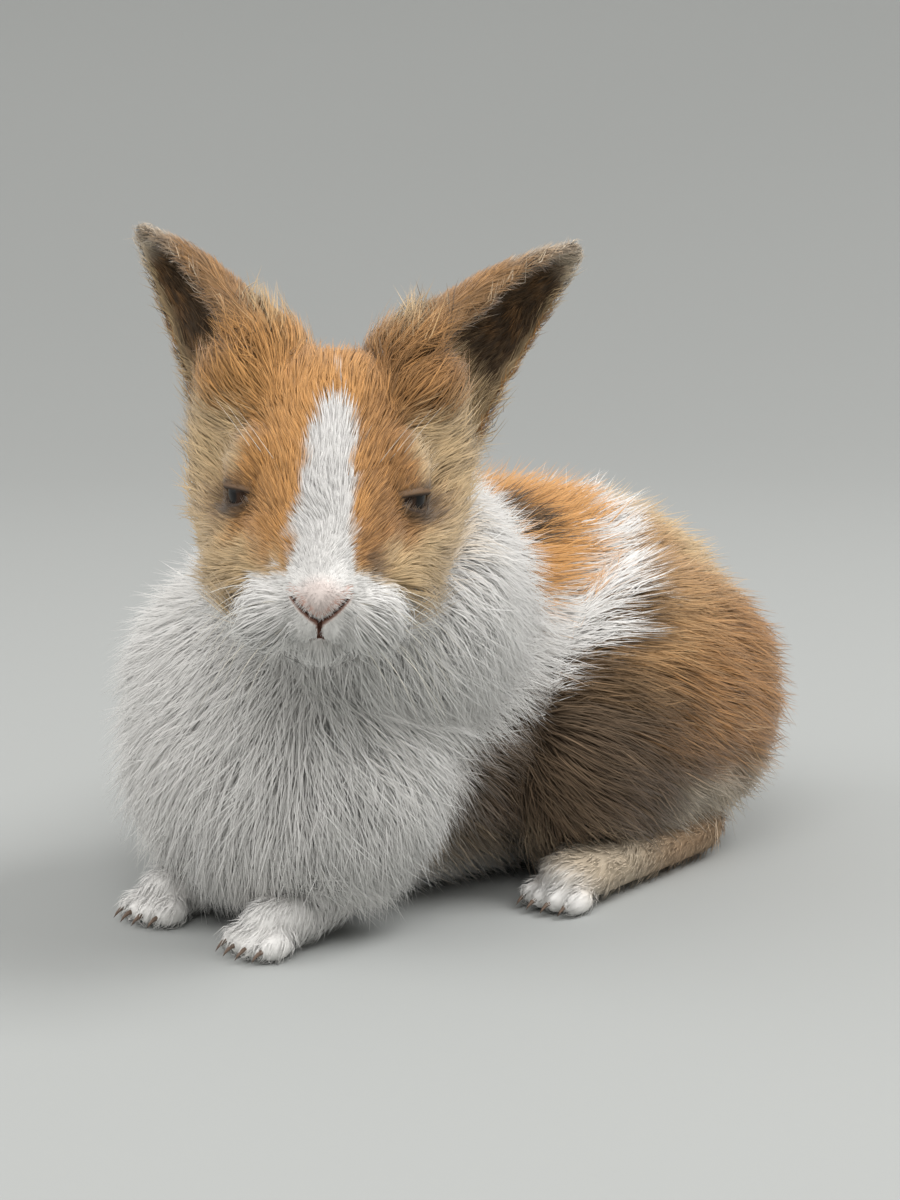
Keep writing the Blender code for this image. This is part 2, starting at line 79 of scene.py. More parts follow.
# The head's skin, in its own frame: the skull, cheeks, temples, ear bases, lip pads, chin,
# brow and nose
SKULL = (
    ((0, -34, -9), (8.5, 8, 9)),
    ((0, -26, -7.5), (13.5, 9, 13.5)),
    ((0, -15, -3), (16.5, 11, 18)),
    ((0, -3, 2), (20, 13, 20.5)),
    ((0, 10, 6), (22.5, 15, 22)),
    ((0, 20, 4), (19.5, 13, 19)),
)
JOWL = (((12, -19, -11), (7.5, 9, 8.5)), ((14, -9, -9), (10, 10, 11.5)), ((14, 3, -6), (12.5, 14, 14)))
TEMPLE = (((15, 11, 14), (10.5, 9, 11)), ((16, 9, -2), (11, 12, 11)))
EAR_BASE = (((12, 8, 15), (10, 10, 10)), ((18.5, 8, 22.5), (6.5, 6.5, 6.5)))
CHIN = (((0, -31, -20.5), (4.5, 6, 3.2)), ((0, -12, -18), (11, 10, 7)))
FACE_BALLS = (
    ((8, -31, -13.5), (7, 8.5, 6.5)),
    ((2.7, -38, -14.2), (3.4, 3.9, 4.6)),
    ((12.5, -6, 11), (6.5, 8, 5.5)),
)
NOSE_BALL = ((0, -38.6, -8.6), (6.6, 4.8, 5.2))

# The eyes: place, radius, turn to the side, half width and heights of the opening, and slant
EYE = (14, -9.5, 4.5)
EYE_R = 7
EYE_TURN = 62
EYE_OPEN = (5.2, 1.1, 1.8)
EYE_SLANT = -12
SOCKET = 0.9
CORNEA = (0.3, 5.2)
PUPIL_R = 2.6
IRIS_R = 5.6

# Grooves in the face as paths: the left nostril, the cleft under it and half the mouth
NOSTRIL = ((0.2, -43.2, -13.2), (3.1, -42.9, -10.7), (5.8, -41, -8.0))
CLEFT = ((0, -43.2, -13.2), (0, -42.6, -15.4), (0, -41, -17.6))
MOUTH = ((0, -41, -17.6), (4.5, -38.5, -19.4), (8.5, -33, -20.6))
GROOVE = (0.5, 1.4)

EAR_LENGTH = 60
EAR_WIDTH = 33
EAR_THICK = 1.7
EAR_ROOT = (20, 14, 12)
EAR_WAY = {1: (0.59, 0.57, 0.57), -1: (-0.46, 0.69, 0.56)}
EAR_OPENS = (0.92, -0.36, -0.08)
EAR_ROLL = (100, 78)
EAR_BACK = 0.88

TOE = (2.5, 4.8, 2.9)
TOE_UP = 3.1
CLAW_R = 0.7

WHISKER_R = 0.12
BROW_HAIR_R = 0.07
WHISKER_COLOUR = (0.85, 0.8, 0.7)

HEAD_VOXEL = 0.6
PAW_VOXEL = 0.9
BODY_VOXEL = 1.9
SEED = 5

# The camera's turn, rise, distance in metres, lens and target
CAMERA_TURN = 44
CAMERA_RISE = 10
CAMERA_AWAY = 0.62
CAMERA_LENS = 74.4
CAMERA_TARGET = (0.0014, 0.0014, 0.066)

# Colours of the coat, linear
ORANGE = np.array((0.55, 0.28, 0.092))
BRIGHT = np.array((0.72, 0.37, 0.125))
BEIGE = np.array((0.68, 0.50, 0.28))
SOOT = np.array((0.085, 0.052, 0.026))
GREY = np.array((0.15, 0.105, 0.068))
HAUNCH = np.array((0.50, 0.25, 0.088))
WHITE = np.array((0.82, 0.80, 0.77))
PALE = np.array((0.66, 0.56, 0.43))
PINK = np.array((0.58, 0.34, 0.27))
CLEFT_RED = np.array((0.16, 0.07, 0.045))

# Dusky places on the haunches, and the dark spot on the left shoulder: centre and radii
DUSKY = (((55, 14, 46), (16, 17, 9)), ((33, 70, 62), (14, 9, 10)))
SPOT = ((23.5, 8, 92), (9, 8, 13))

# The parts of the coat
PARTS = ("torso", "neck", "head", "ear_left", "ear_right", "thigh", "foot", "foreleg", "tail")
EARS = (("ear_left", 1), ("ear_right", -1))

# Length, lift at the tips and width of the tufts, where they are alike over a whole part
TUFT = {
    "torso": (18, 10.5, 0.4),
    "neck": (19, 11, 0.36),
    "thigh": (20, 10, 0.42),
    "foot": (5, 1.9, 0.3),
    "foreleg": (6.5, 2.4, 0.32),
    "tail": (18, 7, 0.42),
}

EAR_TUFT_WIDE = 0.28

# Each tuft has this many rings of points below its tip, and a patch of this size to bake on
RINGS = 2
PATCH = 0.003

# A tuft takes its colour from a place at this share of its way, give or take a share of its
# length, and this share of all tufts stands loose
SEEN_AT = 0.72
BLUR = 0.06
LOOSE = 0.06

# A tuft is this share of its colour at its root, darkened there as painted shade deep in the coat: of a
# dark coat and of a white one
PAINTED_ROOT_SHADE = (0.7, 0.98)


def through(values, share):
    """A value on the smooth curve through evenly spaced ones, at a share of its length."""
    place = share * (len(values) - 1)
    i = min(int(place), len(values) - 2)
    t = place - i
    before, start = values[max(i - 1, 0)], values[i]
    end, after = values[i + 1], values[min(i + 2, len(values) - 1)]
    return (
        start * (2 * t**3 - 3 * t**2 + 1)
        + (end - before) * 0.5 * (t**3 - 2 * t**2 + t)
        + end * (3 * t**2 - 2 * t**3)
        + (after - start) * 0.5 * (t**3 - t**2)
    )


def ball(centre, radii, place=Matrix.Identity(4)):
    """The matrix from the unit ball to an ellipsoid, in mm."""
    return np.array(place @ Matrix.Translation(centre) @ Matrix.Diagonal((*radii, 1)))


def row(stations, inset=0, side=1, shift=(0, 0, 0), place=Matrix.Identity(4)):
    """A close row of balls whose centres and radii run smoothly through the stations."""
    centres = np.array([centre for centre, _ in stations], float)
    radii = np.array([r for _, r in stations], float) - inset
    reach = np.linalg.norm(np.diff(centres, axis=0), axis=1).sum()
    count = 2 + int(reach / (0.2 * radii.min()))
    balls = []
    for i in range(count):
        share = i / (count - 1)
        centre = through(centres, share) + shift
        centre[0] *= side
        balls.append(ball(centre, through(radii, share), place))
    return balls


def both(make):
    """The balls of both sides."""
    return make(1) + make(-1)


def toes(part):
    """The centres of the toes of both feet or both forepaws, four side by side."""
    (x, y, _), (wide, long, _) = FOOT[-1] if part == "foot" else FOREPAW
    middles = (x, -x) if part == "foot" else FORELEG_X
    for middle in middles:
        for i in range(4):
            across = (i - 1.5) / 1.5
            yield middle + across * (wide - TOE[0]), y - long + 3 + 1.5 * across**2, TOE_UP


def toe_balls(part):
    return [ball(centre, TOE) for centre in toes(part)]


FORMS = {
    "torso": row(TORSO, DEPTH["torso"]),
    "neck": row(NECK, DEPTH["neck"]) + row(BIB, DEPTH["neck"]),
    "thigh": both(lambda side: row(THIGH, DEPTH["thigh"], side)),
    "foot": both(lambda side: row(FOOT, DEPTH["foot"], side)) + toe_balls("foot"),
    "foreleg": [
        each
        for x in FORELEG_X
        for each in row(FOREARM, DEPTH["foreleg"], shift=(x, 0, 0))
        + [ball((x, *FOREPAW[0][1:]), np.array(FOREPAW[1]) - DEPTH["foreleg"])]
    ]
    + toe_balls("foreleg"),
    "tail": row(TAIL, DEPTH["tail"]),
}
HEAD_FORM = (
    row(SKULL, place=HEAD)
    + row(CHIN, place=HEAD)
    + both(lambda side: row(JOWL, side=side, place=HEAD))
    + both(lambda side: row(TEMPLE, side=side, place=HEAD))
    + both(lambda side: row(EAR_BASE, side=side, place=HEAD))
    + [
        ball((side * x, y, z), radii, HEAD)
        for side in (1, -1)
        for (x, y, z), radii in (*FACE_BALLS, (EYE, [EYE_R + SOCKET] * 3))
    ]
    + [ball(*NOSE_BALL, HEAD)]
)


def link(name, mesh):
    obj = bpy.data.objects.new(name, mesh)
    bpy.context.scene.collection.objects.link(obj)
    return obj


def paint(mesh, colours):
    """Gives each point of the mesh its colour, in the attribute that the materials read."""
    rgba = np.ones((len(mesh.vertices), 4))
    rgba[:, :3] = colours
    layer = mesh.color_attributes.new(name="coat", type="FLOAT_COLOR", domain="POINT")
    layer.data.foreach_set("color", rgba.reshape(-1))


def gather(items, field, size, kind=float):
    """One field of all the items, as rows of numbers."""
    values = np.empty(len(items) * size, kind)
    items.foreach_get(field, values)
    return values.reshape(-1, size)


def band(here, there, columns):
    """The faces between two closed rings of points."""
    ends = [(k, (k + 1) % columns) for k in range(columns)]
    return [(here + k, there + k, there + j, here + j) for k, j in ends]


def applied(obj):
    """Applies the object's modifiers in place."""
    graph = bpy.context.evaluated_depsgraph_get()
    mesh = bpy.data.meshes.new_from_object(obj.evaluated_get(graph), depsgraph=graph)
    obj.modifiers.clear()
    obj.data = mesh
    return obj


def balls_object(name, balls):
    """One mesh of all the balls, still crossing each other."""
    shape = bmesh.new()
    bmesh.ops.create_uvsphere(shape, u_segments=28, v_segments=18, radius=1)
    points = np.array([vert.co for vert in shape.verts])
    faces = [[vert.index for vert in face.verts] for face in shape.faces]
    shape.free()
    verts = np.concatenate([points @ b[:3, :3].T + b[:3, 3] for b in balls]) * MM
    loops = [[i + k * len(points) for i in face] for k in range(len(balls)) for face in faces]
    mesh = bpy.data.meshes.new(name)
    mesh.from_pydata(verts, [], loops)
    return link(name, mesh)


def remeshed(obj, voxel, smooth):
    remesh = obj.modifiers.new("Join", "REMESH")
    remesh.mode = "VOXEL"
    remesh.voxel_size = voxel * MM
    relax = obj.modifiers.new("Relax", "SMOOTH")
    relax.factor = 0.5
    relax.iterations = smooth
    return applied(obj)


def joined(obj, other):
    """Adds the other object's mesh to obj and removes the other."""
    shape = bmesh.new()
    shape.from_mesh(obj.data)
    shape.from_mesh(other.data)
    shape.to_mesh(obj.data)
    shape.free()
    bpy.data.objects.remove(other)
    return obj


def combine(obj, other, operation):
    modifier = obj.modifiers.new("Combine", "BOOLEAN")
    modifier.operation = operation
    modifier.solver = "MANIFOLD"
    modifier.object = other
    applied(obj)
    bpy.data.objects.remove(other)
    return obj


def gaze(side):
    """The frame of one eye, in mm: its centre, with its pupil towards -Y."""
    x, y, z = EYE
    turn = Matrix.Rotation(math.radians(side * EYE_TURN), 4, "Z")
    slant = Matrix.Rotation(math.radians(-side * EYE_SLANT), 4, "Y")
    return HEAD @ Matrix.Translation((side * x, y, z)) @ turn @ slant


def grooves():
    """The paths of the nostrils, the cleft and the mouth, in the head's frame."""
    paths = [np.array(CLEFT, float)]
    for path in (NOSTRIL, MOUTH):
        for side in (1, -1):
            paths.append(np.array(path, float) * (side, 1, 1))
    return paths


def face_carvers(tree):
    """Balls that open the lids, and rows of small ones that cut the grooves into the skin."""
    wide, up, down = EYE_OPEN
    clear = 0.5
    balls = []
    for side in (1, -1):
        sides = (wide + clear, EYE_R * 0.8, (up + down) / 2 + clear)
        balls.append(ball((0, -EYE_R, (up - down) / 2), sides, gaze(side)))
    wide, deep = GROOVE
    for path in grooves():
        for i in range(25):
            at = tree.find_nearest(HEAD @ Vector(through(path, i / 24)))[0]
            taper = 1 - 0.45 * i / 24
            balls.append(ball(HEAD.inverted() @ at, (wide * taper, deep, wide * taper), HEAD))
    return balls


def ear_axes(side):
    """The ear's directions in the head's frame: along it, across it and the way it opens."""
    way = Vector(EAR_WAY[side]).normalized()
    opens = Vector((side * EAR_OPENS[0], EAR_OPENS[1], EAR_OPENS[2]))
    opens = (opens - way * opens.dot(way)).normalized()
    root = Vector((side * EAR_ROOT[0], EAR_ROOT[1], EAR_ROOT[2]))
    return root, way, way.cross(opens), opens


def ear_angle(across, share, side):
    """The angle round the ear's axis: the upper edge of the sheet starts further back."""
    roll = math.radians(EAR_ROLL[0] + (EAR_ROLL[1] - EAR_ROLL[0]) * share**0.7)
    if side * across < 0:
        roll *= EAR_BACK + (1 - EAR_BACK) * min(1, share / 0.4)
    return across * roll


def ear_profile(share):
    swell = 0.9 + 0.1 * math.sin(math.pi * min(1, share / 0.4))
    return max(0.08, swell * (1 - share**1.7) ** 0.8)


def ear_object(side):
    """A leaf-shaped sheet rolled round its length, open to the side and front."""
    root, way, across, opens = ear_axes(side)
    shape = bmesh.new()
    bmesh.ops.create_grid(shape, x_segments=24, y_segments=40, size=1)
    for vert in shape.verts:
        share = 0.5 + 0.5 * vert.co.y
        angle = ear_angle(vert.co.x, share, side)
        r = EAR_WIDTH * ear_profile(share) / ear_angle(side, share, side) * side
        point = root + way * (EAR_LENGTH * share)
        point += across * (r * math.sin(angle)) - opens * (r * math.cos(angle))
        vert.co = HEAD @ point * MM
    mesh = bpy.data.meshes.new("ear")
    shape.to_mesh(mesh)
    shape.free()
    obj = link("ear", mesh)
    thick = obj.modifiers.new("Thick", "SOLIDIFY")
    thick.thickness = EAR_THICK * MM
    thick.offset = 0
    return applied(obj)


def surface(obj):
    """The object's mesh as a tree, in mm, that finds the nearest place on it."""
    points = [vert.co / MM for vert in obj.data.vertices]
    return BVHTree.FromPolygons(points, [face.vertices for face in obj.data.polygons])


def make_skin():
    """One closed skin: a fine head with its ears and fine paws, joined to the body."""
    head = remeshed(balls_object("head_form", HEAD_FORM), HEAD_VOXEL, 30)
    carvers = remeshed(balls_object("carvers", face_carvers(surface(head))), 0.22, 1)
    for side in (1, -1):
        joined(head, ear_object(side))
    remeshed(head, HEAD_VOXEL, 3)
    combine(head, carvers, "DIFFERENCE")
    paws = remeshed(balls_object("paws", FORMS["foot"] + FORMS["foreleg"]), PAW_VOXEL, 3)
    body = [each for name in ("torso", "neck", "thigh", "tail") for each in FORMS[name]]
    skin = remeshed(balls_object("skin", body), BODY_VOXEL, 10)
    combine(skin, paws, "UNION")
    combine(skin, head, "UNION")
    shape = bmesh.new()
    shape.from_mesh(skin.data)
    bmesh.ops.triangulate(shape, faces=shape.faces)
    for vert in shape.verts:
        vert.co.z = max(vert.co.z, 0.0002)
    shape.to_mesh(skin.data)
    shape.free()
    skin.data.shade_smooth()
    return skin


def smooth_step(value, low, high):
    """0 below low, 1 above high, with a soft change between them."""
    t = np.clip((value - low) / (high - low), 0, 1)
    return t * t * (3 - 2 * t)


def ripple(points, size, seed):
    """Smooth noise between about -1 and 1, whose waves are about that size in mm."""
    draw = np.random.default_rng(seed)
    ways = draw.normal(size=(8, 3))
    length = np.linalg.norm(ways, axis=1)[:, None]
    ways *= (2 * math.pi / size) * draw.uniform(0.5, 1.5, 8)[:, None] / length
    return np.sin(points @ ways.T + draw.uniform(0, 2 * math.pi, 8)).sum(axis=1) / 3.2


def unit(vectors):
    return vectors / np.maximum(np.linalg.norm(vectors, axis=-1, keepdims=True), 1e-9)


def in_head(points):
    return points @ HEAD_BACK[:3, :3].T + HEAD_BACK[:3, 3]


def in_gaze(points, side):
    """The points in one eye's frame."""
    back = np.linalg.inv(np.array(gaze(side)))
    return points @ back[:3, :3].T + back[:3, 3]


def rim_share(points, side, more):
    """How far the points are from an eye's middle, where 1 is that much past its opening."""
    wide, up, down = EYE_OPEN
    x, y, z = in_gaze(points, side).T
    high = np.where(z > 0, up, down) + more
    return np.where(y < 0, np.hypot(x / (wide + more), z / high), 9)


def from_path(h, path):
    """Distances, seen from the front, from places in the head's frame to a path on the nose."""
    best = np.full(len(h), 99.0)
    for start, end in zip(path[:-1, [0, 2]], path[1:, [0, 2]]):
        along = end - start
        away = h[:, [0, 2]] - start
        t = np.clip(away @ along / (along @ along), 0, 1)
        best = np.minimum(best, np.linalg.norm(away - t[:, None] * along, axis=1))
    return np.where(h[:, 1] < path[:, 1].max() + 3, best, 99.0)


def depth_in(points, balls):
    """About how far outside the balls the points are, in mm."""
    best = np.full(len(points), 1e9)
    for each in balls:
        local = (points - each[:3, 3]) @ np.linalg.inv(each[:3, :3]).T
        size = abs(np.linalg.det(each[:3, :3])) ** (1 / 3)
        best = np.minimum(best, (np.linalg.norm(local, axis=1) - 1) * size)
    return best


def ear_frame(points, side):
    """The points' share along the ear, their places across it and the way it opens, in mm."""
    root, way, across, opens = (np.array(each) for each in ear_axes(side))
    local = in_head(points) - root
    return local @ way / EAR_LENGTH, local @ across, local @ opens


def ear_sheet(points, normals, side):
    """Where each point is on the ear's sheet: its share along, turn, rim and cup.

    The turn is the angle round the ear's axis, the rim is 1 at the upper edge of the sheet
    and -1 at the lower one, and the cup is 1 on its hollow side.
    """
    share, across, opens = ear_frame(points, side)
    _, _, over, open_way = (HEAD_ARRAY[:3, :3] @ np.array(each) for each in ear_axes(side))
    turn = np.arctan2(across, -opens)
    roll = np.radians(np.interp(share, (0, 1), EAR_ROLL))
    inward = -(normals @ over) * np.sin(turn) + (normals @ open_way) * np.cos(turn)
    return share, turn, -side * turn / roll, smooth_step(inward, 0.1, 0.5)


def part_shares(points):
    """How much each point belongs to each part of the coat, softly at their borders."""
    far = np.stack(
        [
            depth_in(points, FORMS[name]) if name in FORMS else depth_in(points, HEAD_FORM)
            for name in PARTS
        ],
        axis=1,
    )
    for name, side in EARS:
        share, across, opens = ear_frame(points, side)
        near = np.hypot(across, opens) - 1.15 * EAR_WIDTH / math.radians(EAR_ROLL[0])
        far[:, PARTS.index(name)] = np.maximum(near * 0.5, (0.14 - share) * 40) - 1
    weight = np.exp(-(far - far.min(axis=1, keepdims=True)) / 1.6)
    return weight / weight.sum(axis=1, keepdims=True)


def blended(by_part, shares):
    """The parts' values, mixed by how much each place belongs to each part."""
    return sum(by_part[name] * shares[:, i : i + 1] for i, name in enumerate(PARTS))


def mixed(colour, other, share):
    return colour + (other - colour) * share[:, None]


def from_ball(points, centre, radii):
    """How far the points are from an ellipsoid's centre, where 1 is its surface."""
    return np.linalg.norm((points - centre) / radii, axis=1)


class Layers:
    """A base colour, over which others are laid in turn, each by its share at each place."""

    def __init__(self, colour):
        self.colour = colour

    def lay(self, other, share):
        self.colour = mixed(self.colour, other, share)


def head_colour(points):
    """The face's markings, with painted shade on its left side and over the blaze, and a dark ring round
    each eye that is partly painted shade.
    """
    h = in_head(points)
    x, y, z = h.T
    wave = ripple(h, 9, 11)
    fine = ripple(h, 3.5, 12)
    side = np.abs(x)
    coat = Layers(ORANGE)
    coat.lay(BRIGHT, smooth_step(-side, -15, -8) * smooth_step(z, -2, 6) * 0.5)
    beige = smooth_step(side + 2 * wave + 0.2 * (y + 5), 16, 22)
    beige = np.maximum(beige, smooth_step(-z + 2 * wave, -1, 7))
    # Painted shade: the rabbit's left side of the face is darkened towards brown
    coat.lay(HAUNCH * 0.7, smooth_step(x + 2 * wave, 3, 11) * 0.7)
    tick = smooth_step(ripple(h * (1, 0.5, 0.5), 2.6, 14), 0.2, 1.1)
    coat.lay(HAUNCH * 0.55, tick * 0.4)
    coat.lay(BEIGE, beige * smooth_step(-z + wave, -27, -18) * 0.9)
    streak = smooth_step(ripple(h * (1, 0.4, 0.4), 4, 13), 0.5, 1.2) * smooth_step(side, 12, 20)
    coat.lay(GREY * 1.5, streak * 0.3)
    # A dark ring round each eye: partly dark fur and partly painted shade round the socket
    for s in (1, -1):
        across, ahead, up = in_gaze(points, s).T
        around = np.where(ahead < 0, np.hypot((s * across - 2) / 10, (up + 0.2) / 5), 9) + 0.1 * fine
        coat.lay(HAUNCH * 0.55, smooth_step(-around, -1.6, -0.8) * 0.55)
        coat.lay(SOOT * 1.5, smooth_step(-around, -1.1, -0.6) * 0.9)
    smudge = from_ball(h, (13, -32, -3), (4, 4, 3.2))
    coat.lay(GREY, smooth_step(-smudge + 0.3 * fine, -1.4, -0.5) * 0.6)
    middle = np.interp(y, (-40, -30, -19, -8), (0.2, -0.3, 0.6, 1.2))
    half = np.interp(y, (-42, -37, -28, -19, -12, -6, -3), (9.5, 7.6, 6.3, 5.6, 5.2, 4, -1))
    blaze = smooth_step(half - np.abs(x - middle) + 0.9 * wave + 0.5 * fine, -1.3, 1.3)
    # The blaze's white is dimmed to 0.82 as painted shade over the face
    coat.lay(WHITE * 0.82, blaze * smooth_step(z, -16, -10))
    muzzle = from_ball(h, (0.5, -40, -14), (25, 19.5, 11))
    coat.lay(WHITE, smooth_step(-muzzle + 0.12 * wave + 0.06 * fine, -1.12, -0.92))
    nose = from_ball(h, (0, -43, -7.5), (7, 6, 5.5))
    coat.lay(PINK * 1.25, smooth_step(-nose, -1.1, -0.4) * 0.3)
    coat.lay(WHITE, smooth_step(-z + 1.5 * wave, 15, 21))
    return coat.colour


def ear_colour(points, normals, side):
    """Orange outside, dark in the cup, partly from darker fur and partly as painted shade, with a fringe
    of beige, and pale at the tip.
    """
    share, _, rim, cup = ear_sheet(points, normals, side)
    wave = ripple(points, 8, 21)
    fine = ripple(points, 3, 22)
    coat = Layers(ORANGE * 0.82)
    coat.lay(PALE, smooth_step(share + 0.06 * wave, 0.72, 0.9) * 0.9)
    over_rim = smooth_step(rim + 0.12 * wave, 0.35, 1) * smooth_step(share, 0.1, 0.3)
    coat.lay(SOOT * 2, over_rim * 0.6)
    # The cup's dark colour is partly darker fur and partly painted shade in the hollow
    dark = Layers(SOOT * 1.3)
    way = HEAD_ARRAY[:3, :3] @ np.array(ear_axes(side)[1])
    streak = ripple(points - 0.9 * (points @ way)[:, None] * way, 2.2, 23)
    dark.lay(HAUNCH, smooth_step(streak + wave, 0.2, 1.6) * 0.35)
    fringe = smooth_step(rim + 0.1 * wave + 0.16 * streak, 0.4, 0.95)
    fringe = np.maximum(fringe, smooth_step(-rim + 0.05 * wave, 0.86, 1))
    root = smooth_step(-share - 0.04 * rim + 0.04 * wave + 0.07 * streak, -0.5, -0.3)
    dark.lay(BEIGE * 0.9, np.maximum(fringe * 0.75, root * 0.95))
    edge = smooth_step(rim, 0.85, 1) * smooth_step(share, 0.4, 0.6)
    dark.lay(PALE * 1.15, edge * 0.85)
    dark.lay(PALE * 1.1, smooth_step(share, 0.86, 0.96) * 0.85)
    return mixed(coat.colour, dark.colour, cup)


def body_colour(p):
    """The markings of the back, flanks and haunches, with painted shade low on the front."""
    x, y, z = p.T
    wave = ripple(p, 16, 31)
    fine = ripple(p, 5, 32)
    run = np.array((0.1, 0.85, -0.5)) / math.hypot(0.1, 0.85, -0.5)
    streak = ripple(p - 0.8 * (p @ run)[:, None] * run, 3.2, 33)
    upper = -0.41 * y + 0.913 * z + 2.2 * wave + fine - 3 * smooth_step(-x, 5, 25)
    along = upper - 0.2 * np.clip(y - 5, 0, 25)
    coat = Layers(HAUNCH)
    coat.lay(BEIGE, smooth_step(along, 24, 48) * 0.35)
    coat.lay(BEIGE, smooth_step(streak, 0.5, 1.3) * 0.45)
    coat.lay(SOOT * 2, smooth_step(-streak, 0.6, 1.4) * 0.35)
    both_sides = np.stack([np.abs(x), y, z], axis=1)
    for centre, radii in DUSKY:
        dusk = from_ball(both_sides, centre, radii) - 0.25 * wave - 0.2 * streak
        coat.lay(SOOT * 2, smooth_step(-dusk, -1.3, -0.5) * 0.7)
    # Greyer and darker low down and towards the front: partly grey-brown fur, partly painted shade
    low = z + 0.75 * y + 5 * wave
    coat.lay(GREY, smooth_step(-low, -68, -38) * 0.92)
    soot = smooth_step(-streak, 0.4, 1.2) * smooth_step(-along, -44, -28)
    coat.lay(SOOT * 1.4, soot * 0.55)
    pale = smooth_step(-z + 3 * wave, -29, -18) * smooth_step(y, 14, 32)
    coat.lay(PALE, pale * 0.85)
    skirt = smooth_step(-z + 2.5 * wave, -19, -9) * smooth_step(-y, -18, -4)
    coat.lay(PALE * (0.85, 0.76, 0.66), skirt * 0.75)
    fringe = smooth_step(along, 42, 49) * smooth_step(-low, -115, -80)
    coat.lay(SOOT * 1.5, fringe * 0.8)
    coat.lay(WHITE, smooth_step(along, 49.5, 53))
    tan = smooth_step(y + 0.5 * wave, 52, 62) * smooth_step(z, 60, 72)
    coat.lay(BEIGE * 1.08, tan * 0.8)
    patch = smooth_step(upper, 62, 66.5) * smooth_step(y + 0.35 * (93 - z) + 2 * wave, -2, 4)
    patch *= smooth_step(-y + 3 * wave, -56, -42)
    coat.lay(BRIGHT, patch)
    spot = from_ball(p, *SPOT) + 0.15 * fine
    coat.lay(SOOT * 1.3, smooth_step(-spot, -1.15, -0.8))
    coat.lay(WHITE, smooth_step(-z, -16, -6) * smooth_step(-np.abs(x), -34, -20))
    return coat.colour


def markings_and_painted_shade(points, normals, shares):
    """The coat's colour at each place on the skin, used by the skin and by the tufts: its markings, with
    painted shade.
    """
    body = body_colour(points)
    white = np.tile(WHITE, (len(points), 1))
    neck = mixed(white, body, smooth_step(points[:, 2], 64, 74))
    paws = mixed(white, PALE * (0.95, 0.9, 0.82), smooth_step(points[:, 1] + points[:, 2], -14, 2) * 0.9)
    paws = mixed(paws, HAUNCH, smooth_step(points[:, 1], 4, 30) * 0.5)
    tail = mixed(white, HAUNCH, smooth_step(points[:, 2], 18, 32) * 0.8)
    by_part = {
        "torso": body,
        "thigh": body,
        "neck": neck,
        "head": head_colour(points),
        "ear_left": ear_colour(points, normals, 1),
        "ear_right": ear_colour(points, normals, -1),
        "foot": paws,
        "foreleg": white,
        "tail": tail,
    }
    return blended(by_part, shares)


def lie(points, normals, shares):
    """The way that the coat runs at each place, along the skin."""
    turn = HEAD_ARRAY[:3, :3]
    count = len(points)
    x, y, z = in_head(points).T
    droop = smooth_step(-z, 4, 12) * smooth_step(-y, 14, 30)
    face = unit(np.stack([x * (1 + 0.7 * droop), 0.7 * (y + 45), z + 7 - 11 * droop], axis=1))
    fan = smooth_step(y, -14, -2) * smooth_step(np.abs(x), 7, 14) * smooth_step(z, -12, 2)
    face += 1.5 * fan[:, None] * np.stack([np.sign(x), 0.2 + 0 * x, 0.8 + 0 * x], axis=1)
    flows = {
        "torso": np.stack([0 * x, np.ones(count), -0.15 - 0.5 * np.abs(normals[:, 0])], axis=1),
        "neck": unit(points - HEAD_AT) + (0, 0.35, -0.7),
        "head": unit(face) @ turn.T,
        "thigh": np.tile((0.1, 0.85, -0.5), (count, 1)),
        "foot": np.tile((0, -1, -0.1), (count, 1)),
        "foreleg": np.tile((0, -0.6, -0.8), (count, 1)),
        "tail": np.tile((0, 0.5, 0.9), (count, 1)),
    }
    for name, side in EARS:
        _, way, over, opens = (turn @ np.array(each) for each in ear_axes(side))
        _, angle, rim, cup = ear_sheet(points, normals, side)
        over_rim = smooth_step(np.abs(rim), 0.7, 0.95) * (1 - cup)
        inwards = np.sign(angle) * (1.1 * over_rim - cup * smooth_step(rim, 0.4, 0.8))
        round_it = over * np.cos(angle)[:, None] + opens * np.sin(angle)[:, None]
        flows[name] = way + 0.9 * inwards[:, None] * round_it
    flow = blended({name: unit(each) for name, each in flows.items()}, shares)
    flow -= normals * (flow * normals).sum(axis=1, keepdims=True)
    return unit(flow)


def face_tufts(points):
    """Length, lift and width of the face's tufts: short by nose and eyes, long on the pads."""
    h = in_head(points)
    x, y, z = h.T
    side = np.abs(x)
    long = np.interp(y, (-43, -38, -34, -24, -8, 4, 16), (1.5, 2.1, 3.2, 4.6, 6.4, 10.5, 14))
    pads = smooth_step(-z, 7, 12) * smooth_step(-y, 12, 22) * smooth_step(side, 3, 8)
    beard = smooth_step(-z, 17, 21) * smooth_step(-y, 4, 14)
    crown = smooth_step(z, 20, 27) * smooth_step(y, -4, 8) * smooth_step(-side, -17, -9)
    temple = smooth_step(side, 10, 17) * smooth_step(y, -10, 4) * smooth_step(z, -14, -2)
    long += 12 * pads + 6 * beard + crown + 5.5 * temple
    for s in (1, -1):
        long *= 0.34 + 0.66 * smooth_step(rim_share(points, s, 2), 0.8, 1.5)
    lift = np.minimum(0.55 * long, 3 + 0.13 * long) + 2.5 * pads + 3 * temple
    wide = np.interp(long, (1.5, 4, 14), (0.2, 0.28, 0.4))
    return np.stack([long, lift, wide], axis=1)


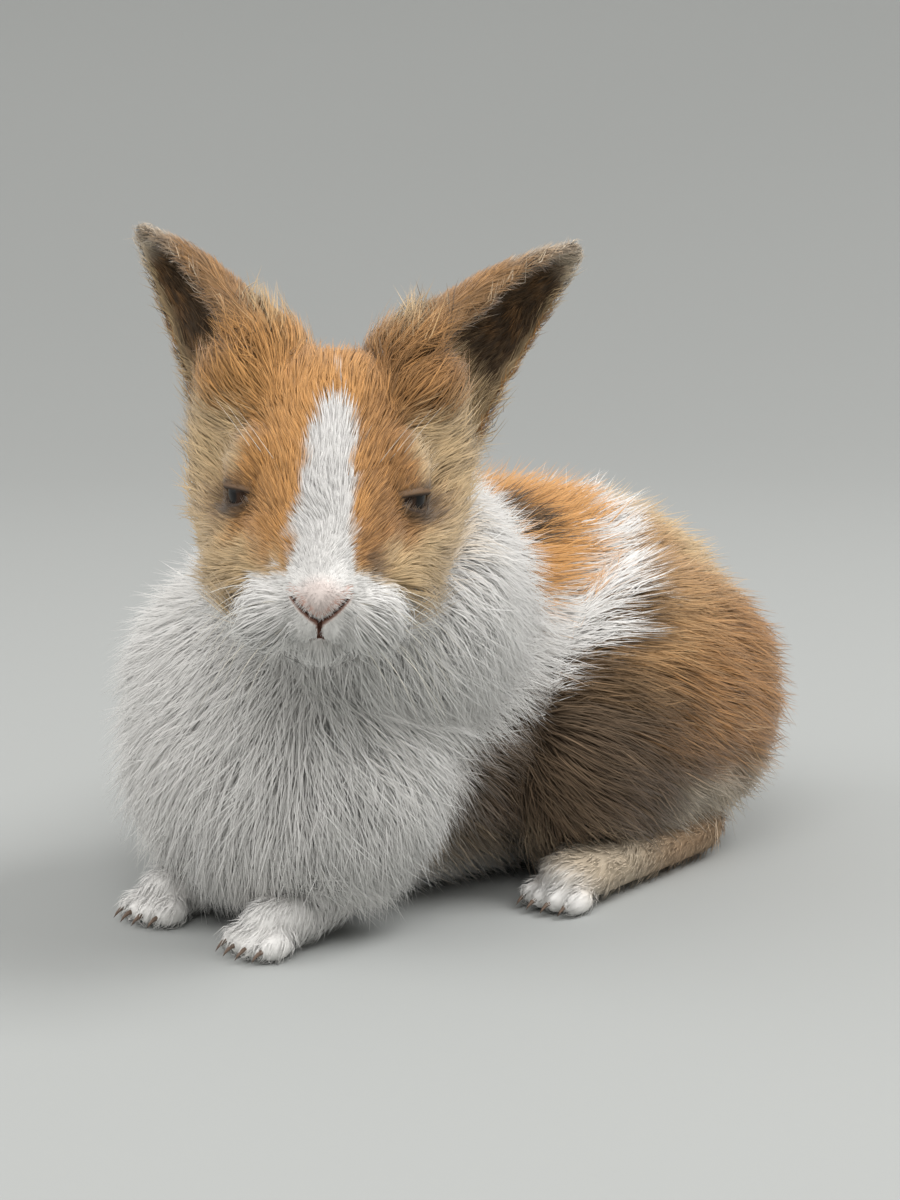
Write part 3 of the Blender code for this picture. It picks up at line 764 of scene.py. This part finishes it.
def ear_tufts(points, normals, side):
    """The ear's tufts are longer at its root and on the rims of its cup."""
    share, _, rim, cup = ear_sheet(points, normals, side)
    base = smooth_step(-share, -0.5, -0.15)
    edge = smooth_step(np.abs(rim), 0.7, 0.95)
    front = smooth_step(rim, 0.45, 0.85)
    long = 4.4 + 3.5 * front + 2 * edge + (4 + 5 * cup) * base
    lift = 1.4 + 0.12 * (long - 4.4) + 0.8 * cup + 0.5 * edge + 3 * cup * base
    return np.stack([long, lift, np.full(len(points), EAR_TUFT_WIDE)], axis=1)


def tuft_sizes(points, normals, shares):
    """Length, lift and width of the tuft at each place."""
    by_part = {name: np.array(size) for name, size in TUFT.items()}
    by_part["head"] = face_tufts(points)
    for name, side in EARS:
        by_part[name] = ear_tufts(points, normals, side)
    by_part["neck"] = by_part["neck"] * (0.35 + 0.65 * smooth_step(points[:, 2:], 3, 26))
    by_part["thigh"] = by_part["thigh"] + (4, 0, 0) * smooth_step(-points[:, 2:], -22, -10)
    return blended(by_part, shares)


def nearest(tree, points):
    """The nearest place on the skin to each point, and the skin's direction there."""
    found = [tree.find_nearest(point) for point in points]
    return np.array([f[0] for f in found]), np.array([f[1] for f in found])


def unwrap(verts, faces):
    """Flattens a stretch of skin: two numbers for each corner of each face."""
    used, local = np.unique(faces, return_inverse=True)
    mesh = bpy.data.meshes.new("stretch")
    mesh.from_pydata(verts[used], [], local.reshape(-1, 3))
    obj = link("stretch", mesh)
    bpy.context.view_layer.objects.active = obj
    obj.select_set(True)
    bpy.ops.object.mode_set(mode="EDIT")
    bpy.ops.mesh.select_all(action="SELECT")
    bpy.ops.uv.smart_project(angle_limit=math.radians(66), island_margin=0.004)
    bpy.ops.object.mode_set(mode="OBJECT")
    places = gather(obj.data.uv_layers.active.data, "uv", 2)
    bpy.data.objects.remove(obj)
    bpy.data.meshes.remove(mesh)
    return places.reshape(-1, 3, 2)


def tuft_paths(tree, roots, normals, heading, long, lift, rings):
    """Rings of centres from root to tip that follow the skin and rise to the lift."""
    at, out, way = roots.copy(), normals.copy(), heading.copy()
    centres, outs = [], []
    step = np.sqrt(np.maximum(long**2 - lift**2, (0.4 * long) ** 2)) / rings
    for i in range(rings + 1):
        share = i / rings
        height = -0.5 + (lift + 0.5) * share**0.8
        centres.append(at + out * height[:, None])
        outs.append(out)
        if i < rings:
            at, out = nearest(tree, at + way * step[:, None])
            way = unit(way - out * (way * out).sum(axis=1, keepdims=True))
    return np.stack(centres, axis=1), np.stack(outs, axis=1)


def clumped(centres, apart, pull, draw):
    """Draws the tips of neighbouring tufts together, so that the coat parts in locks."""
    count = len(centres)
    area_share = max(1, int(count / apart))
    leaders = draw.choice(count, area_share, replace=False)
    tree = KDTree(area_share)
    for i, leader in enumerate(leaders):
        tree.insert(centres[leader, 0], i)
    tree.balance()
    lead = leaders[[tree.find(point)[1] for point in centres[:, 0]]]
    rings = centres.shape[1]
    share = (np.arange(rings) / (rings - 1)) ** 1.4
    strength = (pull * draw.uniform(0.4, 1.2, count))[:, None] * share[None, :]
    offset = (centres[:, 0] - centres[lead, 0])[:, None, :]
    target = centres[lead] + offset * 0.15
    return centres + (target - centres) * strength[:, :, None]


def painted_root_shade(colours):
    """How much of its colour the coat keeps at its roots, where it is darkened as painted shade: more
    where it is white.
    """
    dark, white = PAINTED_ROOT_SHADE
    return dark + (white - dark) * smooth_step(colours[:, 2], 0.3, 0.75)


def tuft_mesh(name, centres, outs, wide, colours, tips, places, roll):
    """One mesh of closed three-sided tufts, each drawn out to a point."""
    count, rings = centres.shape[0], centres.shape[1] - 1
    ahead = unit(np.gradient(centres, axis=1))
    across = unit(np.cross(ahead, outs))
    over = np.cross(across, ahead)
    c, s = np.cos(roll)[:, None, None], np.sin(roll)[:, None, None]
    across, over = across * c + over * s, over * c - across * s
    share = np.arange(rings) / rings
    half = 0.5 * wide[:, None] * (np.minimum(1, 0.6 + 1.6 * share) * (1 - share**1.8))[None, :]
    half = half[:, :, None]
    ring = centres[:, :rings]
    corners = np.stack(
        [
            ring + across[:, :rings] * half - over[:, :rings] * half * 0.3,
            ring - across[:, :rings] * half - over[:, :rings] * half * 0.3,
            ring + over[:, :rings] * half * 0.55,
        ],
        axis=2,
    )
    size = 3 * rings + 1
    verts = np.empty((count, size, 3))
    verts[:, :-1] = corners.reshape(count, 3 * rings, 3)
    verts[:, -1] = centres[:, rings]
    verts[:, :, 2] = np.maximum(verts[:, :, 2], 0.15)
    faces = [(0, 2, 1)]
    for i in range(rings - 1):
        for k in range(3):
            a, b = 3 * i + k, 3 * i + (k + 1) % 3
            faces += [(a, b, a + 3), (b, b + 3, a + 3)]
    last = 3 * (rings - 1)
    faces += [(last + k, last + (k + 1) % 3, 3 * rings) for k in range(3)]
    faces = np.array(faces)
    loops = (faces[None] + size * np.arange(count)[:, None, None]).reshape(-1)
    mesh = bpy.data.meshes.new(name)
    mesh.vertices.add(count * size)
    mesh.vertices.foreach_set("co", (verts * MM).reshape(-1))
    mesh.loops.add(len(loops))
    mesh.loops.foreach_set("vertex_index", loops.astype(np.int32))
    mesh.polygons.add(len(loops) // 3)
    mesh.polygons.foreach_set("loop_start", np.arange(0, len(loops), 3, dtype=np.int32))
    mesh.update(calc_edges=True)
    # Each tuft is darkened at its root as painted shade and brightens towards its tip; some dark tufts
    # have darker tips
    height = np.append(np.repeat(share, 3), 1)
    root = painted_root_shade(colours)[:, None]
    shade = root + (tips[:, None] - root) * height
    paint(mesh, np.clip(colours[:, None, :] * shade[:, :, None], 0, 0.95).reshape(-1, 3))
    spread = np.stack([np.append(np.tile((0, 1, 0.5), rings), 0.5), height], axis=1) * PATCH
    uv = (places[:, None, :] + spread[None]).reshape(-1, 2)[loops]
    mesh.uv_layers.new(name="OFBake").data.foreach_set("uv", uv.reshape(-1))
    mesh.shade_smooth()
    normals = gather(mesh.vertices, "normal", 3)
    outward = np.concatenate([np.repeat(outs[:, :rings], 3, axis=1), outs[:, rings:]], axis=1)
    blend = unit(normals * 0.4 + outward.reshape(-1, 3) * 0.75)
    mesh.normals_split_custom_set_from_vertices(blend)
    return mesh


def bare(points):
    """0 where the skin carries no tufts: by the nose's grooves and in the eyes' openings."""
    h = in_head(points)
    keep = np.ones(len(points))
    for path in grooves():
        keep *= smooth_step(from_path(h, path), 0.4, 0.7)
    for side in (1, -1):
        keep *= smooth_step(rim_share(points, side, 0.7), 1.0, 1.1)
    return keep


def coat_piece(name, skin, where, spec, seed):
    """One piece of the coat, rooted evenly over a stretch of the skin."""
    count, clump, pull, mess, slot = spec
    draw = np.random.default_rng(seed)
    faces = skin["faces"][where]
    verts = skin["verts"]
    places = unwrap(verts * MM, faces)
    corners = verts[faces]
    middle = corners.mean(axis=1)
    sides = np.cross(corners[:, 1] - corners[:, 0], corners[:, 2] - corners[:, 0])
    area = 0.5 * np.linalg.norm(sides, axis=1)
    sizes = tuft_sizes(middle, unit(sides), skin["shares"][where])
    crowd = area * bare(middle) / (sizes[:, 0] * sizes[:, 2]) ** 0.5
    crowd *= 1 - 0.75 * smooth_step(-middle[:, 2], -8, -2)
    chosen = draw.choice(len(faces), count, p=crowd / crowd.sum())
    u, v = draw.uniform(size=(2, count))
    flip = u + v > 1
    u, v = np.where(flip, 1 - u, u), np.where(flip, 1 - v, v)
    weights = np.stack([1 - u - v, u, v], axis=1)
    roots = (corners[chosen] * weights[:, :, None]).sum(axis=1)
    normals = unit((skin["normals"][faces[chosen]] * weights[:, :, None]).sum(axis=1))
    spots = (places[chosen] * weights[:, :, None]).sum(axis=1)
    shares = part_shares(roots)
    heading = lie(roots, normals, shares)
    bend = 0.3 * ripple(roots, 14, seed + 1) + draw.normal(0, mess, count)
    sideways = np.cross(normals, heading)
    heading = unit(heading * np.cos(bend)[:, None] + sideways * np.sin(bend)[:, None])
    sizes = tuft_sizes(roots, normals, shares)
    loose = draw.uniform(size=count) < LOOSE
    long = sizes[:, 0] * draw.uniform(0.72, 1.12, count)
    lift = sizes[:, 1] * np.where(loose, 1.2, draw.uniform(0.5, 1.05, count))
    wide = sizes[:, 2] * draw.uniform(0.75, 1.25, count)
    centres, outs = tuft_paths(skin["tree"], roots, normals, heading, long, lift, RINGS)
    blur = draw.normal(0, BLUR, (count, 3)) * sizes[:, :1]
    seen = roots + (centres[:, -1] - roots) * SEEN_AT
    colours = markings_and_painted_shade(seen + blur, normals, shares)
    centres = clumped(centres, clump, np.where(loose, 0, pull), draw)
    grey = 1 - smooth_step(colours.max(axis=1), 0.3, 0.85)
    colours *= np.exp(draw.normal(0, 1, count) * (0.05 + 0.16 * grey))[:, None]
    tips = np.where(draw.uniform(size=count) < 0.3 * grey, 0.6, 1.04)
    mesh = tuft_mesh(name, centres, outs, wide, colours, tips, spots, draw.normal(0, 0.5, count))
    obj = link(name, mesh)
    mesh.materials.append(coat_material())
    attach(obj, "root")
    return obj


def tune(node, values):
    for name, value in values.items():
        node.inputs[name].default_value = value


def principled(name):
    material = bpy.data.materials.new(name)
    material.use_nodes = True
    return material, material.node_tree, material.node_tree.nodes["Principled BSDF"]


def paint_material(name, roughness, specular):
    """A material that shows the colours on the mesh's points."""
    material, tree, shader = principled(name)
    colour = tree.nodes.new("ShaderNodeVertexColor")
    colour.layer_name = "coat"
    tree.links.new(colour.outputs["Color"], shader.inputs["Base Color"])
    tune(shader, {"Roughness": roughness, "Specular IOR Level": specular})
    return material, tree, shader, colour


def noise_on(tree, scale):
    """Noise that stays in place on the piece."""
    noise = tree.nodes.new("ShaderNodeTexNoise")
    tune(noise, {"Scale": scale})
    place = tree.nodes.new("ShaderNodeTexCoord")
    tree.links.new(place.outputs["Object"], noise.inputs["Vector"])
    return noise


def coat_material():
    """Soft dull fur in the colours that the tufts carry."""
    found = bpy.data.materials.get("coat")
    if found:
        return found
    material, tree, shader, colour = paint_material("coat", 0.8, 0.25)
    noise = noise_on(tree, 900)
    spread = tree.nodes.new("ShaderNodeMapRange")
    tune(spread, {"To Min": 0.85, "To Max": 1.12})
    tree.links.new(noise.outputs["Fac"], spread.inputs["Value"])
    scale = tree.nodes.new("ShaderNodeVectorMath")
    scale.operation = "SCALE"
    tree.links.new(colour.outputs["Color"], scale.inputs[0])
    tree.links.new(spread.outputs["Result"], scale.inputs["Scale"])
    tree.links.new(scale.outputs["Vector"], shader.inputs["Base Color"])
    tune(shader, {"Sheen Weight": 0.25, "Sheen Roughness": 0.5})
    return material


def skin_material():
    material, tree, shader, _ = paint_material("skin", 0.6, 0.35)
    noise = noise_on(tree, 1800)
    tune(noise, {"Detail": 4})
    bump = tree.nodes.new("ShaderNodeBump")
    tune(bump, {"Strength": 0.25, "Distance": 0.0003})
    tree.links.new(noise.outputs["Fac"], bump.inputs["Height"])
    tree.links.new(bump.outputs["Normal"], shader.inputs["Normal"])
    return material


def skin_colour(points, normals, shares):
    """The skin has the coat's markings, darkened by the same painted shade as the coat's roots, a pink
    rim over the nostrils and dark grooves.
    """
    colour = markings_and_painted_shade(points, normals, shares)
    # Painted shade: the skin is darkened like the roots of the coat
    colour *= painted_root_shade(colour)[:, None]
    h = in_head(points)
    nostrils = grooves()[1:3]
    for path in nostrils:
        over = h - (0, 0, 0.9)
        colour = mixed(colour, PINK, smooth_step(-from_path(over, path), -2, -0.9) * 0.85)
    for path in grooves():
        near = from_path(h, path)
        colour = mixed(colour, CLEFT_RED, smooth_step(-near, -0.9, -0.45))
    return colour


def read_skin(skin):
    """The skin's points, faces and directions as arrays in mm, with each point's parts."""
    mesh = skin.data
    verts = gather(mesh.vertices, "co", 3) / MM
    faces = gather(mesh.loops, "vertex_index", 1, np.int32).reshape(-1, 3)
    shares = part_shares(verts)
    return {
        "verts": verts,
        "faces": faces,
        "normals": gather(mesh.vertices, "normal", 3),
        "vert_shares": shares,
        "shares": shares[faces].mean(axis=1),
        "tree": BVHTree.FromPolygons(verts.tolist(), faces.tolist()),
    }


def paint_skin(skin, data, material):
    paint(skin.data, skin_colour(data["verts"], data["normals"], data["vert_shares"]))
    skin.data.materials.clear()
    skin.data.materials.append(material)


def grow_coat(data):
    """The coat in pieces: for each its tufts, how many lean together, how far, and its mess."""
    main = data["shares"].argmax(axis=1)
    middle = data["verts"][data["faces"]].mean(axis=1)
    head_y = in_head(middle)[:, 1]
    left = middle[:, 0] > 4

    def part(*names):
        return np.isin(main, [PARTS.index(name) for name in names])

    pieces = {
        "coat_face": (part("head") & (head_y < -4), (19000, 8, 0.3, 0.1, "coat_tan")),
        "coat_crown": (part("head") & (head_y >= -4), (18500, 10, 0.35, 0.13, "coat_tan")),
        "coat_ear_left": (part("ear_left"), (8500, 6, 0.3, 0.1, "coat_tan")),
        "coat_ear_right": (part("ear_right"), (8500, 6, 0.3, 0.1, "coat_tan")),
        "coat_mane_left": (part("neck") & left, (19500, 8, 0.2, 0.3, "coat_white")),
        "coat_mane_right": (part("neck") & ~left, (15000, 8, 0.2, 0.3, "coat_white")),
        "coat_flank_left": (part("torso") & left, (12000, 12, 0.35, 0.15, "coat_tan")),
        "coat_flank_right": (part("torso") & ~left, (9000, 12, 0.35, 0.15, "coat_tan")),
        "coat_haunch_left": (part("thigh") & left, (19500, 12, 0.4, 0.15, "coat_brown")),
        "coat_haunch_right": (part("thigh") & ~left, (10500, 12, 0.4, 0.15, "coat_brown")),
        "coat_paws_and_tail": (part("foot", "foreleg", "tail"), (9500, 8, 0.3, 0.1, "coat_white")),
    }
    for i, (name, (where, spec)) in enumerate(pieces.items()):
        coat_piece(name, data, where, spec, SEED * 100 + i)


def painted(name, verts, faces, colours, material):
    """A smooth mesh object with a colour on each point, riding on the body."""
    mesh = bpy.data.meshes.new(name)
    mesh.from_pydata(verts, [], faces)
    paint(mesh, colours)
    mesh.shade_smooth()
    mesh.materials.append(material)
    obj = link(name, mesh)
    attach(obj, "root")
    return obj


def eye_material():
    material, _, shader, _ = paint_material("eye", 0.25, 0.12)
    tune(shader, {"Coat Weight": 0.12, "Coat Roughness": 0.05})
    return material


def make_eye(name, side, node, material):
    """A dark glossy eye with a brown iris, a pupil and a slightly bulging cornea."""
    shape = bmesh.new()
    bmesh.ops.create_uvsphere(shape, u_segments=48, v_segments=32, radius=EYE_R)
    turn = gaze(side) @ Matrix.Rotation(math.pi / 2, 4, "X")
    bulge, reach = CORNEA
    verts, colours = [], []
    for vert in shape.verts:
        lean = math.hypot(vert.co.x, vert.co.y) if vert.co.z > 0 else 9
        vert.co.z += bulge * max(0, 1 - (lean / reach) ** 2)
        verts.append(turn @ vert.co * MM)
        if lean < PUPIL_R:
            colours.append((0.003, 0.002, 0.002))
        elif lean < IRIS_R:
            colours.append((0.04, 0.018, 0.008))
        else:
            colours.append((0.05, 0.03, 0.022))
    faces = [[vert.index for vert in face.verts] for face in shape.faces]
    shape.free()
    obj = painted(name, verts, faces, colours, material)
    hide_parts(node)


def make_lids(name, side, material):
    """Both lids as one rolled ring with a dark rim round the half-closed opening."""
    rises = (-0.3, 0.45, 0.85, 1.15, 1.2, 1.0, 0.5, -0.3)
    profile = list(zip(rises, (0.2, 0, 0.05, 0.3, 0.7, 1.2, 1.8, 2.2)))
    columns = 56
    wide, up, down = EYE_OPEN
    verts, colours = [], []
    for rise, out in profile:
        for k in range(columns):
            a = 2 * math.pi * k / columns
            high = up if math.sin(a) > 0 else down
            x, z = (wide + out) * math.cos(a), (high + out) * math.sin(a)
            y = -math.sqrt(EYE_R**2 - min(x * x + z * z, 48))
            point = Vector((x, y, z)).normalized() * (EYE_R + rise)
            verts.append(gaze(side) @ point * MM)
            colours.append((0.04, 0.022, 0.012) if out < 0.6 else (0.15, 0.085, 0.042))
    faces = []
    for i in range(len(profile)):
        faces += band(i * columns, (i + 1) % len(profile) * columns, columns)
    painted(name, verts, faces, colours, material)


def tube(verts, faces, points, radius, sides=5):
    """Adds a closed tube that tapers to a point."""
    start = len(verts)
    for i, point in enumerate(points[:-1]):
        ahead = (points[i + 1] - point).normalized()
        across = ahead.orthogonal().normalized()
        over = ahead.cross(across)
        r = radius * (1 - 0.85 * i / (len(points) - 1))
        for k in range(sides):
            a = 2 * math.pi * k / sides
            verts.append((point + across * (r * math.cos(a)) + over * (r * math.sin(a))) * MM)
    verts.append(points[-1] * MM)
    for i in range(len(points) - 2):
        for k in range(sides):
            j = (k + 1) % sides
            a, b = start + i * sides, start + (i + 1) * sides
            faces.append((a + k, a + j, b + j, b + k))
    last = start + (len(points) - 2) * sides
    tip = len(verts) - 1
    faces += [(last + k, last + (k + 1) % sides, tip) for k in range(sides)]
    faces.append(tuple(start + k for k in range(sides))[::-1])


def make_whiskers(tree):
    """Fine pale whiskers that droop from the lip pads, and a few over the eyes."""
    draw = np.random.default_rng(77)
    turn = HEAD.to_3x3()
    verts, faces = [], []
    for side in (1, -1):
        for i in range(4):
            for j in range(4):
                root = Vector((side * (7 + 2.4 * j), -37 + 3 * j, -10.5 - 2.2 * i))
                at = Vector(tree.find_nearest(HEAD @ root)[0])
                way = (turn @ Vector((side * 0.75, 0.1 + 0.12 * j, -0.05 - 0.22 * i))).normalized()
                long = float(draw.uniform(15, 26))
                points = []
                for k in range(9):
                    share = k / 8
                    sag = Vector((0, 0, -0.55 * long * share**2))
                    drift = turn @ Vector((-side * 0.12 * long, 0.3 * long, 0)) * share**2
                    points.append(at + way * (long * share) + sag + drift)
                tube(verts, faces, points, WHISKER_R)
        for i in range(3):
            root = Vector((side * (11 + 2 * i), -16 + 2.5 * i, 13))
            at = Vector(tree.find_nearest(HEAD @ root)[0])
            way = (turn @ Vector((side * 0.5, -0.2, 0.8))).normalized()
            back = turn @ Vector((side * 2, 6, 0))
            points = [at + way * (14 * k / 6) + back * (k / 6) ** 2 for k in range(7)]
            tube(verts, faces, points, BROW_HAIR_R)
    material, _, shader = principled("whisker")
    tune(shader, {"Roughness": 0.35, "Base Color": (*WHISKER_COLOUR, 1)})
    obj = painted("whiskers", verts, faces, [WHISKER_COLOUR] * len(verts), material)


def make_claws(material):
    """A short dark claw at the front of each toe."""
    verts, faces = [], []
    for part in ("foot", "foreleg"):
        for x, y, z in toes(part):
            root = Vector((x, y - TOE[1] * 0.8, z))
            points = [root + Vector((0, -3.6 * t, -2.3 * t * t + 0.4 * t)) for t in (0, 0.35, 0.7, 1)]
            tube(verts, faces, points, CLAW_R, sides=8)
    painted("claws", verts, faces, [(0.16, 0.11, 0.08)] * len(verts), material)


def make_stage():
    """A wide bowl as floor and backdrop, and soft studio light."""
    flat, bend, rows, columns = 0.8, 1.7, 18, 72
    profile = [(0.4, 0), (flat, 0)]
    for i in range(1, rows):
        a = math.radians(75) * i / (rows - 1)
        profile.append((flat + bend * math.sin(a), bend * (1 - math.cos(a))))
    verts, faces = [], []
    for radius, height in profile:
        for k in range(columns):
            a = 2 * math.pi * k / columns
            verts.append((radius * math.cos(a), radius * math.sin(a), height))
    for i in range(len(profile) - 1):
        faces += band(i * columns, (i + 1) * columns, columns)
    faces.append(tuple(range(columns)))
    mesh = bpy.data.meshes.new("floor")
    mesh.from_pydata(verts, [], faces)
    mesh.shade_smooth()
    floor = link("floor", mesh)
    material, tree, shader = principled("floor")
    noise = tree.nodes.new("ShaderNodeTexNoise")
    tune(noise, {"Scale": 3})
    ramp = tree.nodes.new("ShaderNodeValToRGB")
    ramp.color_ramp.elements[0].color = (0.36, 0.37, 0.36, 1)
    ramp.color_ramp.elements[1].color = (0.40, 0.41, 0.40, 1)
    tree.links.new(noise.outputs["Fac"], ramp.inputs["Fac"])
    tree.links.new(ramp.outputs["Color"], shader.inputs["Base Color"])
    tune(shader, {"Roughness": 0.9})
    mesh.materials.append(material)
    world = bpy.data.worlds.new("studio")
    bpy.context.scene.world = world
    world.use_nodes = True
    tune(world.node_tree.nodes["Background"], {"Color": (1, 0.985, 0.97, 1), "Strength": 0.7})
    target = Vector((0, 0, 0.07))
    for name, place, size, power in (
        ("key", (0.6, -0.9, 1.3), 0.9, 10),
        ("fill", (-0.9, -0.9, 0.6), 1.2, 8),
        ("back", (0.8, 0.6, 1.3), 0.8, 18),
    ):
        light = bpy.data.lights.new(name, "AREA")
        light.size = size
        light.energy = power
        obj = bpy.data.objects.new(name, light)
        bpy.context.scene.collection.objects.link(obj)
        obj.location = place
        obj.rotation_euler = (Vector(place) - target).to_track_quat("Z", "Y").to_euler()


def make_camera():
    """The photo's view: from the rabbit's front left, a little above it."""
    turn, rise = math.radians(CAMERA_TURN), math.radians(CAMERA_RISE)
    back = Vector((math.sin(turn) * math.cos(rise), -math.cos(turn) * math.cos(rise), math.sin(rise)))
    camera = bpy.data.cameras.new("camera")
    camera.sensor_fit = "VERTICAL"
    camera.sensor_height = 36
    camera.lens = CAMERA_LENS
    obj = bpy.data.objects.new("camera", camera)
    bpy.context.scene.collection.objects.link(obj)
    obj.location = Vector(CAMERA_TARGET) + back * CAMERA_AWAY
    obj.rotation_euler = back.to_track_quat("Z", "Y").to_euler()
    bpy.context.scene.camera = obj


def main():
    skin = make_skin()
    data = read_skin(skin)
    hide = skin_material()
    paint_skin(skin, data, hide)
    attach(skin, "root")
    flesh = [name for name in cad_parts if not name.startswith("eye")]
    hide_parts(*flesh)
    grow_coat(data)
    wet = eye_material()
    for name, side in (("left", 1), ("right", -1)):
        make_eye("eyeball_" + name, side, "eye_" + name, wet)
        make_lids("lids_" + name, side, hide)
    make_whiskers(data["tree"])
    make_claws(hide)
    make_stage()
    make_camera()
    bpy.context.scene.view_settings.view_transform = "Standard"
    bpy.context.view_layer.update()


main()
